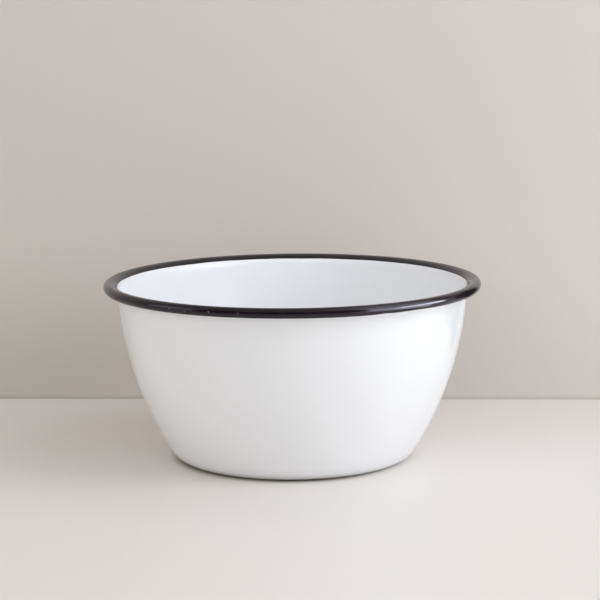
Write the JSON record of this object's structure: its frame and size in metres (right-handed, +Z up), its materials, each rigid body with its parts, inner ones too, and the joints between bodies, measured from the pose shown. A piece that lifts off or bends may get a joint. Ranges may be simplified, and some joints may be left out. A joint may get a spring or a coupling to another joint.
{
  "type": "enamelled steel bowl",
  "caption": "Deep round bowl of pressed steel, white enamel inside and out, with a hollow rolled rim coated black.",
  "frame": {"origin": "centre of the standing ring, in the plane that the bowl rests on", "axes": "+Z up along the bowl's axis of rotation; +X and +Y in the resting plane, free to choose"},
  "size_m": [0.2, 0.2, 0.095],
  "materials": {
    "sheet_steel": "satin",
    "ground_enamel": "gloss",
    "inner_white_enamel": "gloss",
    "outer_white_enamel": "gloss",
    "black_enamel": "gloss"
  },
  "bodies": {
    "root": {"steel_shell": "sheet_steel", "ground_coat": "ground_enamel", "inner_white_coat": "inner_white_enamel", "outer_white_coat": "outer_white_enamel", "rim_coat": "black_enamel"}
  },
  "joints": []
}
